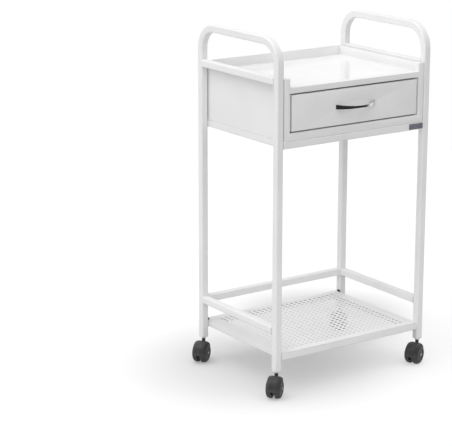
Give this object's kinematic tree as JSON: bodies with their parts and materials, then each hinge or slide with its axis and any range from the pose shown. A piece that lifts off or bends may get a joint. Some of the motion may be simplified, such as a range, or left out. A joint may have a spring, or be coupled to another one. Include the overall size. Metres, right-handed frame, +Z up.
{
  "type": "microwave cart",
  "caption": "White steel cart on casters: tray top between two tube handles, one drawer below it, and a low perforated shelf with a guard rail.",
  "frame": {"origin": "on the floor, in the middle of the overall width and depth with the casters as they stand; the middle between the legs is 14.5 mm to its right and 11 mm behind it", "axes": "+X to the cart's right as seen from the drawer front, +Y to the back, +Z up"},
  "size_m": [0.4982, 0.3725, 0.8615],
  "materials": {
    "white_enamel": "satin white powder coat",
    "gloss_enamel": "high gloss white enamel",
    "chrome": "polished chrome",
    "zinc_steel": "bright zinc plate",
    "nylon": "natural nylon",
    "black_plastic": "moulded black plastic",
    "slate_plastic": "slate grey plastic plate, slightly satin",
    "dark_plastic": "moulded dark grey plastic, slightly satin",
    "wheel_nylon": "moulded dark grey nylon"
  },
  "bodies": {
    "cart_frame": {"left_side_frame": "white_enamel", "right_side_frame": "white_enamel", "left_upper_rail": "white_enamel", "right_upper_rail": "white_enamel", "front_cross_tube": "white_enamel", "rear_cross_tube": "white_enamel", "left_bearer_tube": "white_enamel", "right_bearer_tube": "white_enamel", "shelf_front_tube": "white_enamel", "shelf_rear_tube": "white_enamel", "shelf_left_tube": "white_enamel", "shelf_right_tube": "white_enamel", "shelf_sheet": "white_enamel", "shelf_clips": "black_plastic", "rear_guard_rail": "white_enamel", "left_guard_rail": "white_enamel", "right_guard_rail": "white_enamel", "rail_spacers": "black_plastic", "front_frame": "white_enamel", "left_panel": "white_enamel", "right_panel": "white_enamel", "back_panel": "white_enamel", "cabinet_floor": "white_enamel", "tray": "gloss_enamel", "cabinet_screws": "zinc_steel", "blank_plate": "slate_plastic", "left_runner": "zinc_steel", "right_runner": "zinc_steel", "runner_glides": "nylon", "front_left_socket": "nylon", "rear_left_socket": "nylon", "front_right_socket": "nylon", "rear_right_socket": "nylon"},
    "drawer": {"drawer_front": "white_enamel", "drawer_box": "white_enamel", "drawer_slides": "zinc_steel", "slide_glides": "nylon", "drawer_handle": "chrome", "handle_screws": "zinc_steel"},
    "front_left_swivel": {"front_left_stem": "zinc_steel", "front_left_hood": "dark_plastic", "front_left_axle": "zinc_steel"},
    "front_left_wheel_a": {"front_left_wheel_a": "wheel_nylon"},
    "front_left_wheel_b": {"front_left_wheel_b": "wheel_nylon"},
    "rear_left_swivel": {"rear_left_stem": "zinc_steel", "rear_left_hood": "dark_plastic", "rear_left_axle": "zinc_steel"},
    "rear_left_wheel_a": {"rear_left_wheel_a": "wheel_nylon"},
    "rear_left_wheel_b": {"rear_left_wheel_b": "wheel_nylon"},
    "front_right_swivel": {"front_right_stem": "zinc_steel", "front_right_hood": "dark_plastic", "front_right_axle": "zinc_steel"},
    "front_right_wheel_a": {"front_right_wheel_a": "wheel_nylon"},
    "front_right_wheel_b": {"front_right_wheel_b": "wheel_nylon"},
    "rear_right_swivel": {"rear_right_stem": "zinc_steel", "rear_right_hood": "dark_plastic", "rear_right_axle": "zinc_steel"},
    "rear_right_wheel_a": {"rear_right_wheel_a": "wheel_nylon"},
    "rear_right_wheel_b": {"rear_right_wheel_b": "wheel_nylon"}
  },
  "joints": [
    {"name": "drawer_slide", "type": "slide", "parent": "cart_frame", "child": "drawer", "axis": [0, -1, 0], "range_m": [0, 0.22]},
    {"name": "front_left_swivel_turn", "type": "hinge", "parent": "cart_frame", "child": "front_left_swivel", "pos_m": [-0.205, -0.146, 0.065], "axis": [0, 0, 1], "continuous": true},
    {"name": "front_left_wheel_a_roll", "type": "hinge", "parent": "front_left_swivel", "child": "front_left_wheel_a", "pos_m": [-0.21783, -0.15715, 0.025], "axis": [0.6561, -0.7547, 0], "continuous": true},
    {"name": "front_left_wheel_b_roll", "type": "hinge", "parent": "front_left_swivel", "child": "front_left_wheel_b", "pos_m": [-0.21783, -0.15715, 0.025], "axis": [0.6561, -0.7547, 0], "continuous": true},
    {"name": "rear_left_swivel_turn", "type": "hinge", "parent": "cart_frame", "child": "rear_left_swivel", "pos_m": [-0.205, 0.168, 0.065], "axis": [0, 0, 1], "continuous": true},
    {"name": "rear_left_wheel_a_roll", "type": "hinge", "parent": "rear_left_swivel", "child": "rear_left_wheel_a", "pos_m": [-0.21858, 0.15777, 0.025], "axis": [0.6018, -0.7986, 0], "continuous": true},
    {"name": "rear_left_wheel_b_roll", "type": "hinge", "parent": "rear_left_swivel", "child": "rear_left_wheel_b", "pos_m": [-0.21858, 0.15777, 0.025], "axis": [0.6018, -0.7986, 0], "continuous": true},
    {"name": "front_right_swivel_turn", "type": "hinge", "parent": "cart_frame", "child": "front_right_swivel", "pos_m": [0.234, -0.146, 0.065], "axis": [0, 0, 1], "continuous": true},
    {"name": "front_right_wheel_a_roll", "type": "hinge", "parent": "front_right_swivel", "child": "front_right_wheel_a", "pos_m": [0.21899, -0.15398, 0.025], "axis": [0.4695, -0.8829, 0], "continuous": true},
    {"name": "front_right_wheel_b_roll", "type": "hinge", "parent": "front_right_swivel", "child": "front_right_wheel_b", "pos_m": [0.21899, -0.15398, 0.025], "axis": [0.4695, -0.8829, 0], "continuous": true},
    {"name": "rear_right_swivel_turn", "type": "hinge", "parent": "cart_frame", "child": "rear_right_swivel", "pos_m": [0.234, 0.168, 0.065], "axis": [0, 0, 1], "continuous": true},
    {"name": "rear_right_wheel_a_roll", "type": "hinge", "parent": "rear_right_swivel", "child": "rear_right_wheel_a", "pos_m": [0.22007, 0.15825, 0.025], "axis": [0.5736, -0.8192, 0], "continuous": true},
    {"name": "rear_right_wheel_b_roll", "type": "hinge", "parent": "rear_right_swivel", "child": "rear_right_wheel_b", "pos_m": [0.22007, 0.15825, 0.025], "axis": [0.5736, -0.8192, 0], "continuous": true}
  ]
}
